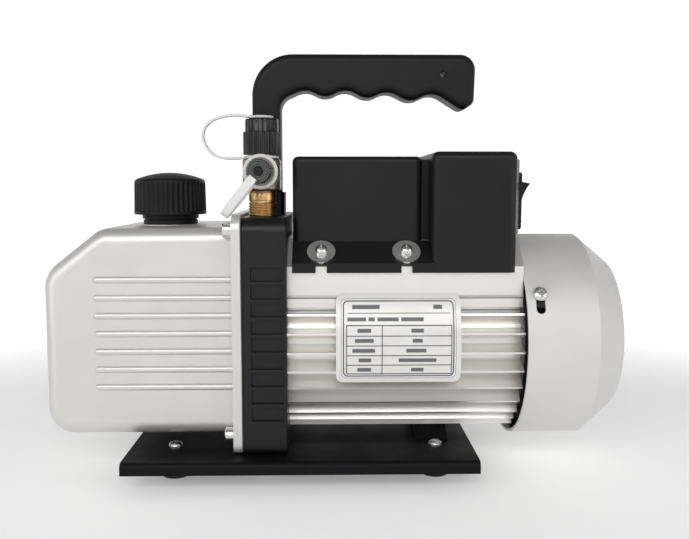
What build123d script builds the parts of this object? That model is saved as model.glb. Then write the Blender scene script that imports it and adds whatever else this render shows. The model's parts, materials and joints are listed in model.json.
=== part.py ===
"""Two-stage rotary vane vacuum pump: oil tank, pump housing and fan-cooled motor on a folded base.

Frame: millimetres, +X from the oil tank to the fan cover, -Y to the nameplate side, +Z up.
The origin is on the ground under the middle of the pump, where the rubber feet stand.
"""

from build123d import *
import math
import os

os.makedirs("parts", exist_ok=True)

# ---------------------------------------------------------------- driving dimensions
axis_z = 75.7  # height of the motor and pump shaft

plate_left, plate_right = -112.0, 83.5
plate_half, plate_top, lip_bottom, sheet = 69.0, 16.85, 9.95, 2.3
foot_mid_x, foot_pitch_x, foot_pitch_y = -12.35, 149.5, 78.0

housing_left, housing_right = -46.5, -22.0
housing_half, housing_top = 55.0, 148.6
spigot_right, motor_right = -19.0, 110.0

tank_end, tank_half, tank_bottom, tank_wall = -158.0, 47.0, 25.5, 4.0
tank_face, flange_thick = -47.0, 5.0
tank_top, tank_knee = 143.2, -126.0
flange_low, flange_high = 17.0, 150.2
tank_bolt_y, tank_bolt_low, tank_bolt_high = 49.5, 26.6, 141.5
filler_x, filler_seat = -94.7, 142.9
glass_z, drain_z = 82.0, 45.0

valve_x, valve_y = -36.9, -25.0
front_port_z = 173.6
handle_half = 12.0

fin_root, fin_tip, fin_pitch = 44.5, 55.0, 11.25
motor_bore = 41.0
crown_side, crown_knee, crown_top = 46.0, 121.0, 136.0

cover_left, cover_knee, cover_right = 110.2, 149.9, 168.5
cover_radius, cover_end_radius, cover_wall = 60.8, 45.4, 1.5
cover_screw_x = 117.7
cover_screw_angles = (30, 150, 270)

shaft_radius, journal_radius = 7.49, 9.0
bearing_outer, bearing_width = 17.5, 11.0
bore_radius, bore_offset = 24.0, 3.0
rotor_radius = bore_radius - bore_offset - 0.04
stage_one, stage_two = (-86.5, -46.5), (-112.5, -94.5)
cartridge_radius, cartridge_end = 40.0, -120.5
pump_bolt_radius = 32.0
slot_bottom, vane_thick = 8.0, 3.94

tie_bolt_points = ((30.9, 112.5), (-30.9, 112.5), (17.0, 31.5), (-17.0, 31.5))
box_left, neck_left, block_left, block_right = -19.2, 54.0, 58.0, 105.5
low_top, neck_top, high_top = 182.2, 180.6, 184.6
low_half, neck_half, high_half = 37.0, 32.0, 49.0
panel_low, lip_y, lip_low, box_wall = 134.5, 48.5, 117.7, 2.5
slope_sum = panel_low + low_half  # height plus half-width, all over the skirt's slope
box_screw_xs = (-3.1, 44.5)
box_screw_y = 42.9


def along_x(x):
    """A sketch plane square to the shaft, whose local axes are world Y and Z."""
    return Plane.YZ.offset(x)


def at_level(z):
    """A horizontal sketch plane."""
    return Plane.XY.offset(z)


def shaft_plane(x):
    """A plane square to the shaft, centred on it."""
    return Plane(origin=(x, 0, axis_z), x_dir=(0, 1, 0), z_dir=(1, 0, 0))


def turned(points, axis=Axis.Z):
    """A solid of revolution from (radius, height) points, about the local Z axis."""
    with BuildPart() as body:
        with BuildSketch(Plane.XZ):
            with BuildLine():
                Polyline(*points, close=True)
            make_face()
        revolve(axis=axis)
    return body.part


# ---------------------------------------------------------------- base
def foot_grid():
    return GridLocations(foot_pitch_x, foot_pitch_y, 2, 2)


base_bolt_points = ((-34.25, 40), (-34.25, -40), (61.5, 8), (61.5, -8))

with BuildPart() as base_plate:
    with BuildSketch(along_x(plate_left)) as channel:
        with Locations((0, (plate_top + lip_bottom) / 2)):
            Rectangle(2 * plate_half, plate_top - lip_bottom)
        fillet(channel.vertices().group_by(Axis.Y)[-1], 3.0)
        with Locations((0, lip_bottom)):
            Rectangle(
                2 * (plate_half - sheet),
                plate_top - sheet - lip_bottom,
                align=(Align.CENTER, Align.MIN),
                mode=Mode.SUBTRACT,
            )
    extrude(amount=plate_right - plate_left)
    with BuildSketch(at_level(plate_top)):
        with Locations((foot_mid_x, 0)):
            with foot_grid():
                Circle(2.2)
        with Locations(*base_bolt_points):
            Circle(3.3)
    extrude(amount=-sheet, mode=Mode.SUBTRACT)
base_plate.part.label = "base_plate"
export_step(base_plate.part, "parts/base_plate.step")

foot_height = plate_top - sheet
with BuildPart() as rubber_feet:
    with Locations((foot_mid_x, 0, 0)):
        with foot_grid():
            Cone(7.4, 9.0, foot_height, align=(Align.CENTER, Align.CENTER, Align.MIN))
            Cylinder(
                2.05,
                foot_height,
                align=(Align.CENTER, Align.CENTER, Align.MIN),
                mode=Mode.SUBTRACT,
            )
            Cylinder(
                4.0,
                3.0,
                align=(Align.CENTER, Align.CENTER, Align.MIN),
                mode=Mode.SUBTRACT,
            )
rubber_feet.part.label = "rubber_feet"
export_step(rubber_feet.part, "parts/rubber_feet.step")


def pan_head(radius, height):
    """A pan head on local Z = 0 with a cross recess."""
    with BuildPart() as head:
        with BuildSketch(Plane.XZ):
            with BuildLine():
                Line((0, 0), (radius, 0))
                Line((radius, 0), (radius, 0.35 * height))
                ThreePointArc(
                    (radius, 0.35 * height),
                    (0.8 * radius, 0.78 * height),
                    (0.3 * radius, height),
                )
                Line((0.3 * radius, height), (0, height))
                Line((0, height), (0, 0))
            make_face()
        revolve(axis=Axis.Z)
        with BuildSketch(Plane.XY.offset(height)):
            Rectangle(1.15 * radius, 0.24 * radius)
            Rectangle(0.24 * radius, 1.15 * radius)
        extrude(amount=-0.6 * height, mode=Mode.SUBTRACT)
    return head.part


def socket_head(radius, height, key):
    """A cylindrical head on local Z = 0 with a hexagon socket in its top."""
    with BuildPart() as head:
        Cylinder(radius, height, align=(Align.CENTER, Align.CENTER, Align.MIN))
        chamfer(head.edges().group_by(Axis.Z)[-1], 0.5)
        with BuildSketch(Plane.XY.offset(height)):
            RegularPolygon(key / 2, 6, major_radius=False)
        extrude(amount=-0.55 * height, mode=Mode.SUBTRACT)
    return head.part


def screw(head, shank_radius, length):
    """A head with a plain shank below it, its seat on local Z = 0."""
    with BuildPart() as body:
        add(head)
        Cylinder(
            shank_radius,
            length,
            align=(Align.CENTER, Align.CENTER, Align.MAX),
        )
    return body.part


foot_screw = screw(pan_head(4.0, 2.6), 2.0, plate_top - 3.2)
with BuildPart() as foot_screws:
    with Locations((foot_mid_x, 0, plate_top)):
        with foot_grid():
            add(foot_screw)
foot_screws.part.label = "foot_screws"
export_step(foot_screws.part, "parts/foot_screws.step")

base_bolt = screw(socket_head(5.0, 4.5, 5.0), 3.0, 16.0)
with BuildPart() as base_bolts:
    with Locations(*[(x, y, plate_top - sheet) for x, y in base_bolt_points]):
        with Locations(Rotation(180, 0, 0)):
            add(base_bolt)
base_bolts.part.label = "base_bolts"
export_step(base_bolts.part, "parts/base_bolts.step")

bracket_left, bracket_long, motor_pad_z = 52.5, 18.0, 24.5
with BuildPart() as motor_bracket:
    with BuildSketch(along_x(bracket_left)):
        with BuildLine():
            Polyline(
                (-30, plate_top),
                (-14, plate_top),
                (-13, plate_top + 3),
                (13, plate_top + 3),
                (14, plate_top),
                (30, plate_top),
                (30, plate_top + 2.5),
                (23, motor_pad_z),
                (-23, motor_pad_z),
                (-30, plate_top + 2.5),
                close=True,
            )
        make_face()
    extrude(amount=bracket_long)
    with BuildSketch(at_level(motor_pad_z)):
        with Locations((61.5, 8), (61.5, -8)):
            Circle(3.3)
    extrude(amount=-8, mode=Mode.SUBTRACT)
motor_bracket.part.label = "motor_bracket"
export_step(motor_bracket.part, "parts/motor_bracket.step")

# ---------------------------------------------------------------- pump housing
boss_left, boss_right, boss_top = -43.5, -25.2, 162.0
tenon_half_x, tenon_half_y, tenon_low = 5.5, 7.0, 151.0
post_mid_x = -35.6
rib_low, rib_high, rib_count = 34.6, 122.5, 9
seal_face, chamber_left, bearing_left = -41.5, -35.0, -20.0

with BuildPart() as pump_housing:
    with BuildSketch(along_x(housing_left)) as housing_face:
        with Locations((0, plate_top)):
            Rectangle(
                2 * housing_half,
                housing_top - plate_top,
                align=(Align.CENTER, Align.MIN),
            )
        fillet(housing_face.vertices().group_by(Axis.Y)[-1], 8.0)
        fillet(housing_face.vertices().group_by(Axis.Y)[0], 3.0)
    extrude(amount=housing_right - housing_left)
    chamfer(pump_housing.edges().filter_by(Plane.YZ), 0.6)
    with BuildSketch(along_x(housing_right)):
        with Locations((0, axis_z)):
            Circle(motor_bore - 0.05)
    extrude(amount=spigot_right - housing_right)
    with BuildSketch(along_x(spigot_right)):
        with Locations((0, axis_z)):
            Circle(23)
    extrude(amount=bearing_width)
    with BuildSketch(at_level(housing_top)) as boss:
        with Locations(((boss_left + boss_right) / 2, 0)):
            Rectangle(boss_right - boss_left, 2 * handle_half)
        fillet(boss.vertices(), 3.0)
    extrude(amount=boss_top - housing_top)
    # shallow panels between the cooling ribs, on both sides
    rib_pitch = (rib_high - rib_low) / rib_count
    for side in (-1, 1):
        for row in range(rib_count):
            with Locations(
                (-32.8, side * housing_half, rib_low + (row + 0.5) * rib_pitch)
            ):
                Box(17.8, 4.0, rib_pitch - 1.9, mode=Mode.SUBTRACT)
    # bearing seat, coupling chamber, seal pocket and shaft bore
    for x_from, x_to, radius in (
        (bearing_left, spigot_right + bearing_width, bearing_outer + 0.02),
        (chamber_left, bearing_left, 15.0),
        (seal_face, chamber_left, 13.02),
        (housing_left, seal_face, journal_radius + 0.04),
    ):
        with BuildSketch(shaft_plane(x_from)):
            Circle(radius)
        extrude(amount=x_to - x_from, mode=Mode.SUBTRACT)
    # intake: down from the valve stem, then across to the first stage
    with BuildSketch(at_level(housing_top)):
        with Locations((valve_x, valve_y)):
            Circle(6.05)
    extrude(amount=-11, mode=Mode.SUBTRACT)
    with BuildSketch(at_level(housing_top)):
        with Locations((valve_x, valve_y)):
            Circle(4.5)
    extrude(amount=-52, mode=Mode.SUBTRACT)
    with BuildSketch(along_x(housing_left)):
        with Locations((valve_y, 97.0)):
            Circle(3.5)
    extrude(amount=valve_x - housing_left, mode=Mode.SUBTRACT)
    # tapped holes
    with BuildSketch(along_x(housing_left)):
        with Locations((0, (tank_bolt_low + tank_bolt_high) / 2)):
            with GridLocations(2 * tank_bolt_y, tank_bolt_high - tank_bolt_low, 2, 2):
                Circle(2.55)
    extrude(amount=12, mode=Mode.SUBTRACT)
    with BuildSketch(shaft_plane(housing_left)):
        with PolarLocations(pump_bolt_radius, 4):
            Circle(3.05)
    extrude(amount=9, mode=Mode.SUBTRACT)
    with BuildSketch(along_x(spigot_right)):
        with Locations(*tie_bolt_points):
            Circle(2.6)
    extrude(amount=-11, mode=Mode.SUBTRACT)
    with BuildSketch(at_level(plate_top)):
        with Locations(*base_bolt_points[:2]):
            Circle(3.05)
    extrude(amount=14.2, mode=Mode.SUBTRACT)
    # socket for the handle's tenon, and its two side screws
    with BuildSketch(at_level(boss_top)):
        with Locations((post_mid_x, 0)):
            Rectangle(2 * tenon_half_x, 2 * tenon_half_y)
    extrude(amount=tenon_low - boss_top, mode=Mode.SUBTRACT)
    with BuildSketch(along_x(boss_left)):
        with Locations((-3.8, 156), (3.8, 156)):
            Circle(1.6)
    extrude(amount=6, mode=Mode.SUBTRACT)
pump_housing.part.label = "pump_housing"
export_step(pump_housing.part, "parts/pump_housing.step")


# ---------------------------------------------------------------- oil tank
def tank_form(open_x, inset, half, edge_radius):
    """The tank's rounded body, or its cavity when inset: a side outline drawn across the pump."""
    with BuildPart() as form:
        with BuildSketch(Plane.XZ):
            with BuildLine():
                FilletPolyline(
                    (open_x, tank_top),
                    (tank_knee, tank_top - 1.0),
                    (tank_end, 116.9),
                    (tank_end, tank_bottom),
                    (open_x, tank_bottom),
                    radius=(14, 18, 15),
                )
                Line((open_x, tank_bottom), (open_x, tank_top))
            make_face()
            if inset:
                offset(amount=-inset)
        extrude(amount=half, both=True)
        sides = form.edges().filter_by(lambda e: abs(abs(e.center().Y) - half) < 0.01)
        mouth = sides.sort_by(Axis.X)[-2:]
        fillet([e for e in sides if e not in mouth], edge_radius)
    return form.part


tank_ribs, rib_pitch_z, lowest_rib, rib_start = 7, 10.08, 53.5, -127.5
tank_cavity = tank_form(-40.0, tank_wall, tank_half - tank_wall, 4.5)

with BuildPart() as oil_tank:
    add(tank_form(tank_face, 0, tank_half, 8.0))
    with BuildSketch(along_x(tank_face)) as flange:
        with Locations((0, (flange_low + flange_high) / 2)):
            Rectangle(111.0, flange_high - flange_low)
        fillet(flange.vertices().group_by(Axis.Y)[-1], 8.5)
        fillet(flange.vertices().group_by(Axis.Y)[0], 4.0)
    extrude(amount=-flange_thick)
    fillet(
        oil_tank.edges().filter_by(lambda e: abs(e.center().X - tank_face) < 0.01), 0.6
    )
    for side in (-1, 1):
        for row in range(tank_ribs):
            height = lowest_rib + row * rib_pitch_z
            with Locations((rib_start, side * (tank_half - 0.5), height)):
                Sphere(2.0)
            with BuildSketch(along_x(rib_start)):
                with Locations((side * (tank_half - 0.5), height)):
                    Circle(2.0)
            extrude(amount=tank_face - flange_thick - rib_start)
    # seats for the filler neck, the sight glass and the drain plug
    with Locations((filler_x, 0, filler_seat)):
        Cylinder(18.0, 6.0, align=(Align.CENTER, Align.CENTER, Align.MAX))
    for height, radius, proud in ((glass_z, 17.0, 1.5), (drain_z, 11.0, 2.0)):
        with BuildSketch(along_x(tank_end + 4)):
            with Locations((0, height)):
                Circle(radius)
        extrude(amount=-(4 + proud))
    add(tank_cavity, mode=Mode.SUBTRACT)
    with BuildSketch(at_level(filler_seat)):
        with Locations((filler_x, 0)):
            Circle(12.1)
    extrude(amount=-12, mode=Mode.SUBTRACT)
    for height, radius in ((glass_z, 10.0), (drain_z, 6.1)):
        with BuildSketch(along_x(tank_end - 3)):
            with Locations((0, height)):
                Circle(radius)
        extrude(amount=12, mode=Mode.SUBTRACT)
    with BuildSketch(along_x(tank_face)):
        with Locations((0, (tank_bolt_low + tank_bolt_high) / 2)):
            with GridLocations(2 * tank_bolt_y, tank_bolt_high - tank_bolt_low, 2, 2):
                Circle(2.7)
    extrude(amount=-flange_thick, mode=Mode.SUBTRACT)
oil_tank.part.label = "oil_tank"
export_step(oil_tank.part, "parts/oil_tank.step")

with BuildPart() as tank_gasket:
    with BuildSketch(along_x(tank_face)) as gasket:
        with Locations((0, (17.4 + 148.2) / 2)):
            Rectangle(109.2, 148.2 - 17.4)
        fillet(gasket.vertices(), 5.0)
        with Locations((0, 86.0)):
            Rectangle(85.0, 108.0, mode=Mode.SUBTRACT)
        with Locations((0, (tank_bolt_low + tank_bolt_high) / 2)):
            with GridLocations(2 * tank_bolt_y, tank_bolt_high - tank_bolt_low, 2, 2):
                Circle(2.7, mode=Mode.SUBTRACT)
    extrude(amount=housing_left - tank_face)
tank_gasket.part.label = "tank_gasket"
export_step(tank_gasket.part, "parts/tank_gasket.step")

tank_bolt = screw(socket_head(4.25, 5.0, 4.0), 2.5, 16.0)
with BuildPart() as tank_bolts:
    for side in (-1, 1):
        for height in (tank_bolt_low, tank_bolt_high):
            seat = (tank_face - flange_thick, side * tank_bolt_y, height)
            with Locations(Location(seat, (0, -90, 0))):
                add(tank_bolt)
tank_bolts.part.label = "tank_bolts"
export_step(tank_bolts.part, "parts/tank_bolts.step")

seal_thick = 0.4
neck_seat = filler_seat + seal_thick
neck_form = turned(
    (
        (9.0, -10.0),
        (12.0, -10.0),
        (12.0, 0.0),
        (16.2, 0.0),
        (16.2, 2.2),
        (15.4, 2.4),
        (15.4, 2.8),
        (16.7, 3.0),
        (16.7, 6.2),
        (13.0, 6.2),
        (13.0, 17.2),
        (9.0, 17.2),
    )
)
with BuildPart() as filler_neck:
    with Locations((filler_x, 0, neck_seat)):
        add(neck_form)
filler_neck.part.label = "filler_neck"
export_step(filler_neck.part, "parts/filler_neck.step")

with BuildPart() as filler_seal:
    with BuildSketch(at_level(filler_seat)):
        with Locations((filler_x, 0)):
            Circle(15.5)
            Circle(12.3, mode=Mode.SUBTRACT)
    extrude(amount=seal_thick)
filler_seal.part.label = "filler_seal"
export_step(filler_seal.part, "parts/filler_seal.step")

cap_bottom, cap_flutes = 148.8, 42
with BuildPart() as filler_cap:
    with BuildSketch(Plane.XZ):
        with BuildLine():
            Line((0, 0), (21.4, 0))
            Line((21.4, 0), (21.0, 19.0))
            ThreePointArc((21.0, 19.0), (20.4, 20.4), (19.0, 21.2))
            ThreePointArc((19.0, 21.2), (11.0, 23.9), (3.0, 24.8))
            Line((3.0, 24.8), (0, 24.8))
            Line((0, 24.8), (0, 0))
        make_face()
    revolve(axis=Axis.Z)
    with BuildSketch(Plane.XY.offset(1.6)):
        with PolarLocations(21.8, cap_flutes):
            Circle(1.05)
    extrude(amount=17.2, mode=Mode.SUBTRACT)
    with BuildSketch(Plane.XY):
        Circle(17.4)
    extrude(amount=1.6, mode=Mode.SUBTRACT)
    with BuildSketch(Plane.XY):
        Circle(13.08)
    extrude(amount=13.0, mode=Mode.SUBTRACT)
filler_cap_placed = Pos(filler_x, 0, cap_bottom) * filler_cap.part
filler_cap_placed.label = "filler_cap"
export_step(filler_cap_placed, "parts/filler_cap.step")

glass_face = tank_end - 1.5
with BuildPart() as sight_glass_ring:
    with BuildSketch(along_x(glass_face)):
        with Locations((0, glass_z)):
            Circle(15.5)
            Circle(10.0, mode=Mode.SUBTRACT)
    extrude(amount=-4.0)
    chamfer(sight_glass_ring.edges().group_by(Axis.X)[0], 0.8)
    with BuildSketch(along_x(glass_face)):
        with Locations((0, glass_z)):
            Circle(12.05)
    extrude(amount=-2.5, mode=Mode.SUBTRACT)
sight_glass_ring.part.label = "sight_glass_ring"
export_step(sight_glass_ring.part, "parts/sight_glass_ring.step")

with BuildPart() as sight_glass_lens:
    with BuildSketch(along_x(glass_face)):
        with Locations((0, glass_z)):
            Circle(12.0)
    extrude(amount=-2.5)
sight_glass_lens.part.label = "sight_glass_lens"
export_step(sight_glass_lens.part, "parts/sight_glass_lens.step")

drain_face = tank_end - 2.0
with BuildPart() as drain_seal:
    with BuildSketch(along_x(drain_face)):
        with Locations((0, drain_z)):
            Circle(9.0)
            Circle(6.3, mode=Mode.SUBTRACT)
    extrude(amount=-1.0)
drain_seal.part.label = "drain_seal"
export_step(drain_seal.part, "parts/drain_seal.step")

with BuildPart() as drain_plug:
    with BuildSketch(along_x(drain_face - 1.0)):
        with Locations((0, drain_z)):
            Circle(9.0)
    extrude(amount=-1.5)
    with BuildSketch(along_x(drain_face - 2.5)):
        with Locations((0, drain_z)):
            RegularPolygon(7.0, 6, major_radius=False)
    extrude(amount=-6.0)
    with BuildSketch(along_x(drain_face - 1.0)):
        with Locations((0, drain_z)):
            Circle(6.0)
    extrude(amount=9.0)
drain_plug.part.label = "drain_plug"
export_step(drain_plug.part, "parts/drain_plug.step")


# ---------------------------------------------------------------- pump cartridge
def stator(x_from, x_to):
    """A stator ring between two faces: an eccentric bore and four bolt holes."""
    with BuildPart() as ring:
        with BuildSketch(shaft_plane(x_from)):
            Circle(cartridge_radius)
            with Locations((0, bore_offset)):
                Circle(bore_radius, mode=Mode.SUBTRACT)
            with PolarLocations(pump_bolt_radius, 4):
                Circle(3.05, mode=Mode.SUBTRACT)
        extrude(amount=x_to - x_from)
    return ring.part


def plate(x_from, x_to, depth):
    """An end or centre plate with a journal bore of the given depth from its right face."""
    with BuildPart() as disc:
        with BuildSketch(shaft_plane(x_from)):
            Circle(cartridge_radius)
            with PolarLocations(pump_bolt_radius, 4):
                Circle(3.05, mode=Mode.SUBTRACT)
        extrude(amount=x_to - x_from)
        with BuildSketch(shaft_plane(x_to)):
            Circle(journal_radius + 0.04)
        extrude(amount=-depth, mode=Mode.SUBTRACT)
    return disc.part


def slotted_rotor(x_from, x_to):
    """A rotor drum with two radial vane slots."""
    with BuildPart() as drum:
        with BuildSketch(shaft_plane(x_from)):
            Circle(rotor_radius)
            for side in (-1, 1):
                with Locations((side * (slot_bottom + 10), 0)):
                    Rectangle(20, 4.0, mode=Mode.SUBTRACT)
        extrude(amount=x_to - x_from)
    return drum.part


with BuildPart() as first_stage_stator:
    add(stator(*stage_one))
    # intake port into the bore
    with BuildSketch(along_x(stage_one[1])):
        with Locations((valve_y, 97.0)):
            Circle(3.5)
    extrude(amount=-14, mode=Mode.SUBTRACT)
    with Locations((stage_one[1] - 10.5, valve_y + 5.0, 97.0)):
        Box(7, 10, 6, mode=Mode.SUBTRACT)
first_stage_stator.part.label = "first_stage_stator"
export_step(first_stage_stator.part, "parts/first_stage_stator.step")

flat_z = axis_z + 37.0
with BuildPart() as second_stage_stator:
    add(stator(*stage_two))
    # flat and port for the exhaust reed
    with Locations((sum(stage_two) / 2, 0, flat_z)):
        Box(
            20,
            40,
            10,
            align=(Align.CENTER, Align.CENTER, Align.MIN),
            mode=Mode.SUBTRACT,
        )
    with BuildSketch(at_level(flat_z)):
        with Locations((sum(stage_two) / 2, 8)):
            Circle(2)
    extrude(amount=-13, mode=Mode.SUBTRACT)
    with BuildSketch(at_level(flat_z)):
        with Locations((sum(stage_two) / 2, -9)):
            Circle(1.55)
    extrude(amount=-5, mode=Mode.SUBTRACT)
second_stage_stator.part.label = "second_stage_stator"
export_step(second_stage_stator.part, "parts/second_stage_stator.step")

centre_plate_part = plate(stage_two[1], stage_one[0], stage_one[0] - stage_two[1])
centre_plate_part.label = "centre_plate"
export_step(centre_plate_part, "parts/centre_plate.step")

end_plate_part = plate(cartridge_end, stage_two[0], 6.5)
end_plate_part.label = "end_plate"
export_step(end_plate_part, "parts/end_plate.step")

play = 0.05  # running clearance at each end of a rotor
with BuildPart() as first_stage_rotor:
    add(slotted_rotor(stage_one[0] + play, stage_one[1] - play))
    with BuildSketch(shaft_plane(stage_one[1] - play)):
        Circle(journal_radius)
    extrude(amount=chamber_left + play - stage_one[1])
    with BuildSketch(shaft_plane(chamber_left)):
        Circle(shaft_radius)
    extrude(amount=6.8)
    with BuildSketch(shaft_plane(stage_one[0] + play)):
        Circle(journal_radius)
    extrude(amount=stage_two[1] - play - stage_one[0] - play)
    with BuildSketch(shaft_plane(stage_two[1] - play)):
        Circle(5.0)
    extrude(amount=-10)
first_stage_rotor.part.label = "first_stage_rotor"
export_step(first_stage_rotor.part, "parts/first_stage_rotor.step")

with BuildPart() as second_stage_rotor:
    add(slotted_rotor(stage_two[0] + play, stage_two[1] - play))
    with BuildSketch(shaft_plane(stage_two[0] + play)):
        Circle(journal_radius)
    extrude(amount=-6.4)
    with BuildSketch(shaft_plane(stage_two[1])):
        Circle(5.02)
    extrude(amount=-10.5, mode=Mode.SUBTRACT)
second_stage_rotor.part.label = "second_stage_rotor"
export_step(second_stage_rotor.part, "parts/second_stage_rotor.step")

vane_tip = rotor_radius - 0.06
for stage, (x_from, x_to) in (("first", stage_one), ("second", stage_two)):
    for side, name in ((-1, "a"), (1, "b")):
        with BuildPart() as vane:
            with BuildSketch(shaft_plane(x_from + 2 * play)):
                with BuildLine():
                    inner = side * (slot_bottom + 0.5)
                    shoulder = side * (vane_tip - vane_thick / 2)
                    half = vane_thick / 2
                    Line((inner, half), (shoulder, half))
                    ThreePointArc(
                        (shoulder, half), (side * vane_tip, 0), (shoulder, -half)
                    )
                    Line((shoulder, -half), (inner, -half))
                    Line((inner, -half), (inner, half))
                make_face()
            extrude(amount=x_to - x_from - 4 * play)
        vane.part.label = f"{stage}_stage_vane_{name}"
        export_step(vane.part, f"parts/{stage}_stage_vane_{name}.step")

reed_x, reed_wide, reed_thick = sum(stage_two) / 2, 9.0, 0.4
with BuildPart() as exhaust_reed:
    with Locations((reed_x, 0, flat_z)):
        Box(
            reed_wide,
            26,
            reed_thick,
            align=(Align.CENTER, Align.CENTER, Align.MIN),
        )
    with BuildSketch(at_level(flat_z)):
        with Locations((reed_x, -9)):
            Circle(1.7)
    extrude(amount=1, mode=Mode.SUBTRACT)
exhaust_reed.part.label = "exhaust_reed"
export_step(exhaust_reed.part, "parts/exhaust_reed.step")

stop_z = flat_z + reed_thick
with BuildPart() as reed_stop:
    with BuildSketch(along_x(reed_x - reed_wide / 2)):
        with BuildLine():
            Polyline(
                (-13, stop_z),
                (-3, stop_z),
                (13, stop_z + 2.5),
                (13, stop_z + 4.0),
                (-3, stop_z + 1.5),
                (-13, stop_z + 1.5),
                close=True,
            )
        make_face()
    extrude(amount=reed_wide)
    with BuildSketch(at_level(stop_z)):
        with Locations((reed_x, -9)):
            Circle(1.7)
    extrude(amount=2, mode=Mode.SUBTRACT)
reed_stop.part.label = "reed_stop"
export_step(reed_stop.part, "parts/reed_stop.step")

reed_screw_form = screw(pan_head(2.8, 1.8), 1.5, 6.0)
with BuildPart() as reed_screw:
    with Locations((reed_x, -9, stop_z + 1.5)):
        add(reed_screw_form)
reed_screw.part.label = "reed_screw"
export_step(reed_screw.part, "parts/reed_screw.step")

pump_bolt = screw(
    socket_head(5.0, 6.0, 5.0), 3.0, housing_left - cartridge_end + 8.5
)
with BuildPart() as pump_bolts:
    for turn in range(4):
        seat_y = pump_bolt_radius * math.cos(turn * math.pi / 2)
        seat_z = axis_z + pump_bolt_radius * math.sin(turn * math.pi / 2)
        with Locations(Location((cartridge_end, seat_y, seat_z), (0, -90, 0))):
            add(pump_bolt)
pump_bolts.part.label = "pump_bolts"
export_step(pump_bolts.part, "parts/pump_bolts.step")

with BuildPart() as shaft_seal:
    with BuildSketch(shaft_plane(seal_face)):
        Circle(13.0)
        Circle(journal_radius + 0.03, mode=Mode.SUBTRACT)
    extrude(amount=chamber_left - seal_face)
    with BuildSketch(shaft_plane(chamber_left)):
        Circle(11.5)
        Circle(journal_radius + 1.2, mode=Mode.SUBTRACT)
    extrude(amount=-4.5, mode=Mode.SUBTRACT)
shaft_seal.part.label = "shaft_seal"
export_step(shaft_seal.part, "parts/shaft_seal.step")

with BuildPart() as shaft_coupling:
    with BuildSketch(shaft_plane(chamber_left + 0.5)):
        Circle(13.0)
        Circle(shaft_radius + 0.02, mode=Mode.SUBTRACT)
    extrude(amount=13.0)
    circles = shaft_coupling.edges().filter_by(GeomType.CIRCLE)
    chamfer(circles.filter_by(lambda e: abs(e.radius - 13.0) < 0.01), 0.8)
shaft_coupling.part.label = "shaft_coupling"
export_step(shaft_coupling.part, "parts/shaft_coupling.step")

# ---------------------------------------------------------------- inlet valve
stem_low, body_low, body_high = 138.0, 163.0, 181.0
with BuildPart() as inlet_stem:
    with Locations((valve_x, valve_y, 0)):
        add(
            turned(
                (
                    (4.0, stem_low),
                    (6.0, stem_low),
                    (6.0, housing_top),
                    (8.2, housing_top),
                    (8.2, 156.5),
                    (7.7, 157.2),
                    (7.9, 158.0),
                    (7.9, body_low),
                    (4.0, body_low),
                )
            )
        )
inlet_stem.part.label = "inlet_stem"
export_step(inlet_stem.part, "parts/inlet_stem.step")

port_plane = Plane(
    origin=(valve_x, valve_y - 10.5, front_port_z), x_dir=(1, 0, 0), z_dir=(0, -1, 0)
)
with BuildPart() as inlet_valve_body:
    with BuildSketch(at_level(body_low)) as block:
        with Locations((valve_x, valve_y)):
            Rectangle(21.0, 21.0)
        chamfer(block.vertices(), 3.0)
    extrude(amount=body_high - body_low)
    chamfer(inlet_valve_body.faces().sort_by(Axis.Z)[-1].edges(), 1.0)
    chamfer(inlet_valve_body.faces().sort_by(Axis.Z)[0].edges(), 1.0)
    # top port
    with BuildSketch(at_level(body_high)):
        with Locations((valve_x, valve_y)):
            Circle(7.5)
    extrude(amount=13.5)
    # front port
    with BuildSketch(port_plane):
        Circle(7.9)
    extrude(amount=2.2)
    with BuildSketch(port_plane):
        Circle(5.4)
    extrude(amount=11.0)
    with BuildSketch(at_level(body_low)):
        with Locations((valve_x, valve_y)):
            Circle(4.2)
    extrude(amount=40, mode=Mode.SUBTRACT)
    with BuildSketch(port_plane.offset(-8)):
        Circle(3.0)
    extrude(amount=20, mode=Mode.SUBTRACT)
inlet_valve_body.part.label = "inlet_valve_body"
export_step(inlet_valve_body.part, "parts/inlet_valve_body.step")

top_cap_low, top_cap_high = 183.2, 203.6
with BuildPart() as top_cap:
    with BuildSketch(at_level(top_cap_low)):
        with Locations((valve_x, valve_y)):
            Circle(10.8)
            with PolarLocations(11.3, 16):
                Circle(1.0, mode=Mode.SUBTRACT)
    extrude(amount=13.0)
    with BuildSketch(at_level(top_cap_low + 13.0)):
        with Locations((valve_x, valve_y)):
            Circle(9.6)
    extrude(amount=top_cap_high - top_cap_low - 13.0)
    chamfer(top_cap.faces().sort_by(Axis.Z)[-1].edges(), 0.8)
    with BuildSketch(at_level(top_cap_high)):
        with Locations((valve_x, valve_y)):
            Circle(3.0)
    extrude(amount=2.6)
    with BuildSketch(at_level(top_cap_low)):
        with Locations((valve_x, valve_y)):
            Circle(7.55)
    extrude(amount=12.0, mode=Mode.SUBTRACT)
top_cap.part.label = "top_cap"
export_step(top_cap.part, "parts/top_cap.step")

front_cap_near, front_cap_long = 4.4, 12.0
with BuildPart() as front_cap:
    with BuildSketch(port_plane.offset(front_cap_near)):
        Circle(7.0)
        with PolarLocations(7.4, 14):
            Circle(0.7, mode=Mode.SUBTRACT)
    extrude(amount=front_cap_long)
    with BuildSketch(port_plane.offset(front_cap_near + front_cap_long)):
        Circle(2.4)
    extrude(amount=2.2)
    with BuildSketch(port_plane.offset(front_cap_near)):
        Circle(5.45)
    extrude(amount=7.5, mode=Mode.SUBTRACT)
front_cap.part.label = "front_cap"
export_step(front_cap.part, "parts/front_cap.step")


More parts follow.
